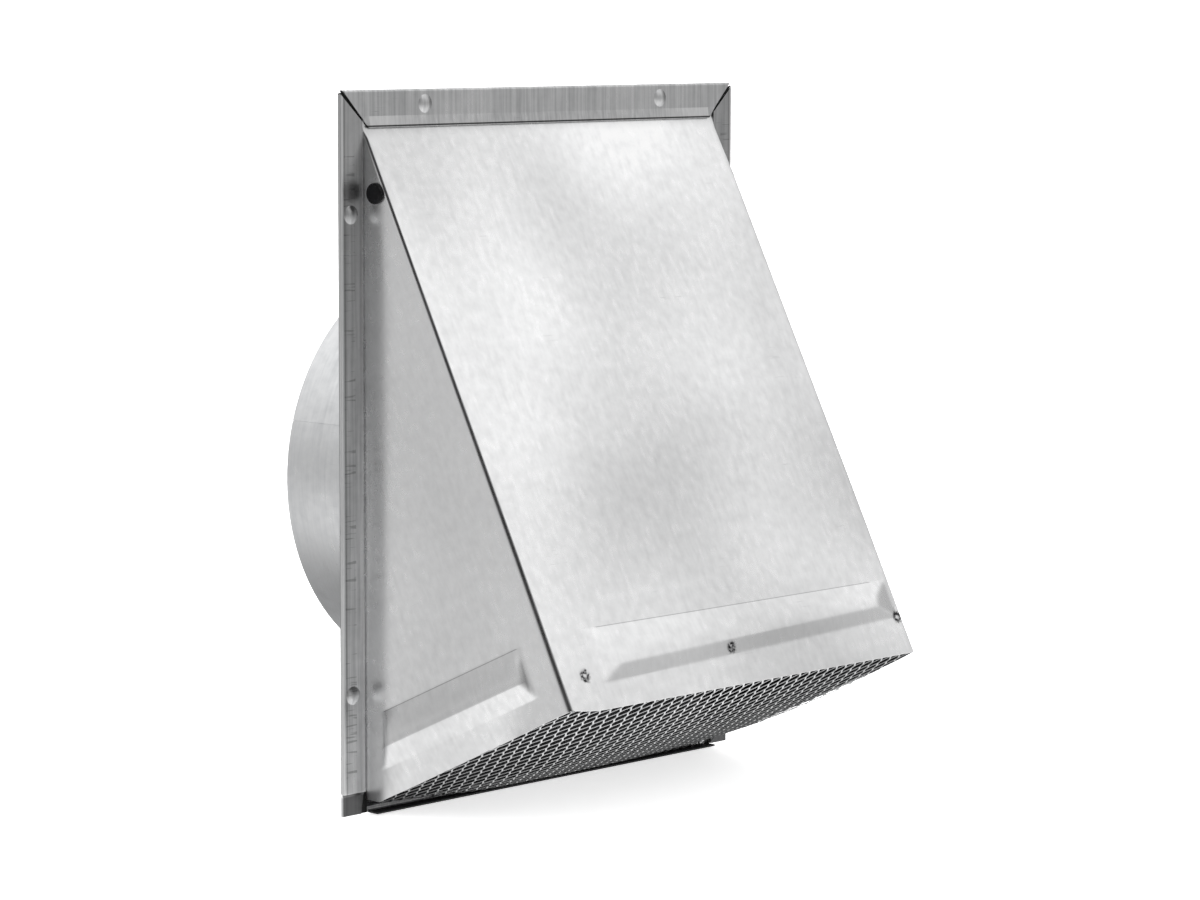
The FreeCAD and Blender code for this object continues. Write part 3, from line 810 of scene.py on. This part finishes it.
# Painted light and shade: the strands are lighter at the front, darker towards the back, and darker towards
# the right.
on_screen = axes(screen_tree, object_place(screen_tree))
shade_to_back = span(screen_tree, on_screen["Y"], -0.085, -0.02, 1.1, 0.4)
shade_to_right = span(screen_tree, on_screen["X"], 0.0, 0.088, 1.0, 0.65)
shaded_screen = scaled(screen_tree, screen_colour, sums(screen_tree, "MULTIPLY", shade_to_back, shade_to_right))
screen_tree.links.new(shaded_screen, screen_shader.inputs["Base Color"])
print("finishes:", hood_skin.name, inner_shade_skin.name, screen_skin.name)

# %% [markdown]
# ## The plate's strips
#
# The folded strips are the same metal, with the grain running up and down and fine cross scratches from
# handling. Where two strips meet at a corner they leave a mitre slit, and at the foot of each side strip
# there is a narrow slot. The finish paints the bottoms of both near black and matt, as painted shade. The
# plate's face inside the hood and its lip are painted dark and matt as shade, and the feet of the strips
# are painted dark as shade. Beside each side fold there is a painted highlight and a painted shade line;
# along the top strip's lower edge, a painted highlight band near its ends and a painted shadow line; on the
# upper side strips, painted shade; and the whole plate is painted lighter towards the bottom and darker
# towards the top. These places could be painted by hand. Here each is a zone between limits in millimetres,
# the same on both sides of the plate's middle, so that it stays on its fold.

# %% Find places on the plate
plate_skin, plate_tree, plate_shader, plate_colour = mill_aluminium(
    bare("plate_aluminium"), (900, 900, 22), (0.46, 0.465, 0.47), (0.80, 0.802, 0.805), 0.26, 0.40, 0.46)
plate_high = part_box("back_plate")[1] / mm
plate_place = object_place(plate_tree)
mirrored = node(plate_tree, "ShaderNodeVectorMath", operation="ABSOLUTE")
plate_tree.links.new(plate_place, mirrored.inputs[0])
off_middle = axes(plate_tree, mirrored.outputs["Vector"])["X"]
on_plate = axes(plate_tree, plate_place)
across_slit = sums(plate_tree, "SUBTRACT", on_plate["Z"], off_middle)
slit_line = plate_high.z - plate_high.x
zone_edge = 0.05


def within(value, low, high):
    """Is 1 where a value in millimetres lies between two limits, and 0 outside them."""
    rising = span(plate_tree, value, (low - zone_edge) * mm, (low + zone_edge) * mm, 0, 1)
    falling = span(plate_tree, value, (high - zone_edge) * mm, (high + zone_edge) * mm, 1, 0)
    return sums(plate_tree, "MULTIPLY", rising, falling)


def zone(x=None, y=None, z=None, slit=None, fade=None):
    """A place on the plate, by its limits from the middle, out of the wall, up and across the slit."""
    limits = ((off_middle, x), (on_plate["Y"], y), (on_plate["Z"], z), (across_slit, slit))
    joined, *others = [within(value, *pair) for value, pair in limits if pair]
    for mask in others + ([] if fade is None else [fade]):
        joined = sums(plate_tree, "MULTIPLY", joined, mask)
    return joined


print("mitre slits start at", [round(c, 1) for c in plate_high])

# %% Dress the plate's places
strip_face = (-3.0, -1.2)
plate_face = (-1.2, -0.3)
slit_half = 1.5
# Painted shade: the bottoms of the mitre slits and of the slots at the strips' feet are painted near black.
in_slit = zone(y=plate_face, z=(126.0, 150.0), slit=(slit_line - slit_half, slit_line + slit_half))
in_foot = zone(x=(87.8, 91.4), y=plate_face, z=(-111.2, -101.2))
# Painted shade: the plate's lip and its face inside the hood are painted near black.
in_lip = zone(x=(-1.0, 89.0), y=(-6.5, -1.3), z=(-112.0, -109.0))
in_room = zone(x=(-1.0, 88.4), y=plate_face, z=(-109.0, 126.0))
# Painted shade on the feet of the side strips.
foot_shade = zone(x=(88.0, 100.5), y=(-3.0, -1.1), z=(-112.0, -103.3))
# A painted highlight along each side fold, and a painted shade line just inside it.
fold_highlight = zone(x=(98.7, 100.2), y=strip_face)
fold_shade = zone(x=(97.7, 98.5), y=strip_face)
# A painted highlight band along the top strip's lower edge near its ends, and a painted shadow line under that
# edge.
to_corner = span(plate_tree, off_middle, 0.055, 0.078, 0, 1)
top_highlight_band = zone(x=(-1.0, 86.5), y=strip_face, z=(127.0, 130.6), fade=to_corner)
top_shadow_line = zone(x=(-1.0, 89.0), y=strip_face, z=(126.9, 127.45))
scratches = span(plate_tree, stretched_noise(plate_tree, plate_place, (70, 70, 900), 2.0), 0.60, 0.66, 0, 1)
ticked = zone(x=(93.5, 98.6), y=strip_face, z=(-103.0, 125.0), fade=scratches)
# Painted shade on the side strips, growing stronger upwards.
upwards = span(plate_tree, on_plate["Z"], 0.03, 0.12, 0, 1)
upper_shade = zone(x=(89.0, 101.0), y=strip_face, slit=(-300.0, slit_line), fade=upwards)
painted_shade_under_hood = sums(plate_tree, "MAXIMUM", in_lip, in_room)
painted_dark_gaps = sums(plate_tree, "MAXIMUM", in_slit, in_foot)
print("places on the plate found")

# %% Paint the scratches, light and shade on the plate
# Each entry: a zone, how much it is mixed in, and its tone. All are painted light or shade, except the cross
# scratches.
scratches_light_and_shade = (
    (upper_shade, 0.3, (0.12, 0.12, 0.12)),
    (fold_highlight, 0.45, (0.95, 0.95, 0.95)),
    (fold_shade, 0.45, (0.12, 0.12, 0.12)),
    (top_highlight_band, 0.45, (0.95, 0.95, 0.95)),
    (top_shadow_line, 0.9, (0.01, 0.01, 0.01)),
    (ticked, 0.4, (0.1, 0.1, 0.1)),
    (foot_shade, 0.9, (0.08, 0.08, 0.082)),
    (painted_shade_under_hood, 1.0, (0.014, 0.014, 0.015)),
    (painted_dark_gaps, 1.0, (0.004, 0.004, 0.004)),
)
# Painted light and shade: the whole plate is lighter towards the bottom and darker towards the top.
shaded = scaled(plate_tree, plate_colour, span(plate_tree, on_plate["Z"], -0.11, 0.13, 1.12, 0.88))
for mask, share, tone in scratches_light_and_shade:
    shaded = mix_towards(plate_tree, shaded, sums(plate_tree, "MULTIPLY", mask, share), tone)
plate_tree.links.new(shaded, plate_shader.inputs["Base Color"])
# The painted dark gaps and the painted shade under the hood are also made matt and not metallic.
matt = sums(plate_tree, "MAXIMUM", painted_shade_under_hood, painted_dark_gaps)
plate_rough = plate_shader.inputs["Roughness"].links[0].from_socket
plate_tree.links.new(sums(plate_tree, "MAXIMUM", matt, plate_rough), plate_shader.inputs["Roughness"])
plate_tree.links.new(span(plate_tree, matt, 0, 1, 1, 0), plate_shader.inputs["Metallic"])
print("plate stained in", len(scratches_light_and_shade), "places")

# %% [markdown]
# ## Rod and caps
#
# The rod is drawn steel, with fine lines along it. The caps are black nylon, moulded, with a faint pebble and
# almost no gloss. Both are small, so a two-tone noise and a little relief are enough.

# %% Mix the rod's steel and the caps' nylon
rod_skin = bare("rod_steel")
rod_tree, rod_shader = open_finish(rod_skin)
drawn = stretched_noise(rod_tree, object_place(rod_tree), (30, 1500, 1500), 3.0)
rod_colour = two_tone(rod_tree, drawn, (0.42, 0.43, 0.44), (0.66, 0.67, 0.68))
rod_tree.links.new(rod_colour, rod_shader.inputs["Base Color"])
rod_tree.links.new(span(rod_tree, drawn, 0.3, 0.7, 0.24, 0.38), rod_shader.inputs["Roughness"])
rod_tree.links.new(relief(rod_tree, drawn, 0.01 * mm), rod_shader.inputs["Normal"])
rod_shader.inputs["Metallic"].default_value = 1.0

nylon_skin = bare("black_nylon")
nylon_tree, nylon_shader = open_finish(nylon_skin)
nylon_place = object_place(nylon_tree)
pebble = stretched_noise(nylon_tree, nylon_place, (2500, 2500, 2500), 2.0)
haze = stretched_noise(nylon_tree, nylon_place, (300, 300, 300), 3.0)
nylon_colour = two_tone(nylon_tree, haze, (0.002, 0.002, 0.002), (0.006, 0.006, 0.007))
nylon_tree.links.new(nylon_colour, nylon_shader.inputs["Base Color"])
nylon_tree.links.new(span(nylon_tree, haze, 0.3, 0.7, 0.42, 0.55), nylon_shader.inputs["Roughness"])
nylon_tree.links.new(relief(nylon_tree, pebble, 0.02 * mm), nylon_shader.inputs["Normal"])
nylon_shader.inputs["Specular IOR Level"].default_value = 0.1
print("finishes:", rod_skin.name, nylon_skin.name)

# %% Put the finishes on
skins = {
    "back_plate": plate_skin,
    "collar": collar_skin,
    "damper_flap": flap_shade_skin,
    "hinge_rod": rod_skin,
    "left_bushing": nylon_skin,
    "right_bushing": nylon_skin,
}
for name, skin in skins.items():
    parts[name].data.materials.clear()
    parts[name].data.materials.append(skin)
expanded_screen.data.materials.append(screen_skin)
print("dressed", len(skins) + 2, "pieces")

# %% [markdown]
# ## Studio
#
# A white paper bowl stands round the cap: its floor runs up into its wall without a corner, so no horizon
# shows. It is spun from one profile. Metal shows what is round it, so the sky of this studio is bright
# above and at floor level and greyer at the sides, which gives each folded face a tone of its own.

# %% Spin the paper bowl
floor_z = cad_box[0][2] - 0.0005
floor_radius, cove_radius, wall_height, cove_steps = 2.6, 1.2, 3.4, 12
profile = [(0.0, 0.0), (0.6, 0.0), (1.4, 0.0), (floor_radius, 0.0)]
for step in range(1, cove_steps + 1):
    turn = math.pi / 2 * step / cove_steps
    profile.append((floor_radius + cove_radius * math.sin(turn), cove_radius * (1 - math.cos(turn))))
profile.append((floor_radius + cove_radius, wall_height))
paper = bmesh.new()
path = [paper.verts.new((r, 0, floor_z + z)) for r, z in profile]
path_edges = [paper.edges.new(pair) for pair in zip(path, path[1:])]
bmesh.ops.spin(paper, geom=path + path_edges, cent=(0, 0, 0), axis=(0, 0, 1), angle=2 * math.pi, steps=72)
bmesh.ops.remove_doubles(paper, verts=paper.verts[:], dist=1e-5)
bmesh.ops.recalc_face_normals(paper, faces=paper.faces[:])
paper_mesh = bpy.data.meshes.new("paper_bowl")
paper.to_mesh(paper_mesh)
paper.free()
paper_mesh.shade_smooth()
paper_bowl = new_object("paper_bowl", paper_mesh)
paper_skin = bare("studio_paper")
paper_shader = open_finish(paper_skin)[1]
paper_shader.inputs["Base Color"].default_value = (0.9, 0.9, 0.9, 1)
paper_shader.inputs["Roughness"].default_value = 0.95
paper_shader.inputs["Emission Color"].default_value = (1, 1, 1, 1)
paper_shader.inputs["Emission Strength"].default_value = 0.62
paper_mesh.materials.append(paper_skin)
paper_bowl.visible_glossy = False
paper_bowl.visible_shadow = False
print("bowl:", floor_radius + cove_radius, "m radius")

# %% Light the studio
world = bpy.data.worlds.new("studio")
scene.world = world
world.use_nodes = True
sky = world.node_tree
backdrop = sky.nodes["Background"]
direction = node(sky, "ShaderNodeTexCoord").outputs["Generated"]


def toward(target):
    """How closely a ray points to a direction, from -1 to 1."""
    made = node(sky, "ShaderNodeVectorMath", operation="DOT_PRODUCT")
    made.inputs[1].default_value = Vector(target).normalized()
    sky.links.new(direction, made.inputs[0])
    return made.outputs["Value"]


height = node(sky, "ShaderNodeValToRGB")
bands = height.color_ramp
heights = ((-1.0, 1.0), (-0.6, 1.18), (-0.35, 0.95), (-0.12, 0.56), (0.03, 0.47), (0.25, 0.70), (0.4, 0.86),
           (0.5, 1.0), (0.6, 1.08), (0.75, 1.08), (0.88, 1.12), (1.0, 1.05))
while len(bands.elements) < len(heights):
    bands.elements.new(0.5)
for stop, (rise, tone) in zip(bands.elements, heights):
    stop.position = 0.5 + 0.5 * rise
    stop.color = (tone, tone, tone, 1)
sky.links.new(span(sky, toward((0, 0, 1)), -1, 1, 0, 1), height.inputs["Fac"])
print("sky has", len(heights), "bands")

# %% Shade parts of the sky
# Each shade has a direction, how closely a ray points there at its edge and in its middle, and its brightness.
shades = (
    ((-0.60, -0.45, 0.66), 0.53, 0.88, 0.02),
    ((0.98, 0.1, 0.15), 0.80, 0.98, 0.25),
    ((0.0, 0.91, -0.41), 0.74, 0.93, 0.32),
    ((-0.15, 0.78, -0.61), 0.90, 0.99, 0.5),
    ((-0.72, 0.69, -0.12), 0.85, 0.97, 1.08),
)
dimming = 1.0
for target, edge, middle, share in shades:
    shade = span(sky, toward(target), edge, middle, 1.0, share)
    dimming = sums(sky, "MULTIPLY", shade, dimming)
sky.links.new(scaled(sky, height.outputs["Color"], dimming), backdrop.inputs["Color"])
backdrop.inputs["Strength"].default_value = 1.0
print("sky has", len(shades), "shades")

# %% Hang the soft lamps
def soft_lamp(name, place, target, size, watts):
    data = bpy.data.lights.new(name, "AREA")
    data.shape = "RECTANGLE"
    data.size, data.size_y = size
    data.energy = watts
    lamp = bpy.data.objects.new(name, data)
    lamp.location = place
    lamp.rotation_euler = (Vector(target) - Vector(place)).to_track_quat("-Z", "Y").to_euler()
    lamp.visible_glossy = False
    scene.collection.objects.link(lamp)


soft_lamp("top_lamp", (0.4, -0.5, 1.7), (0, 0, 0), (1.6, 1.6), 22)
soft_lamp("left_lamp", (-1.8, 0.9, 0.9), (0, 0, 0), (1.2, 1.2), 10)
print("lamps hung")
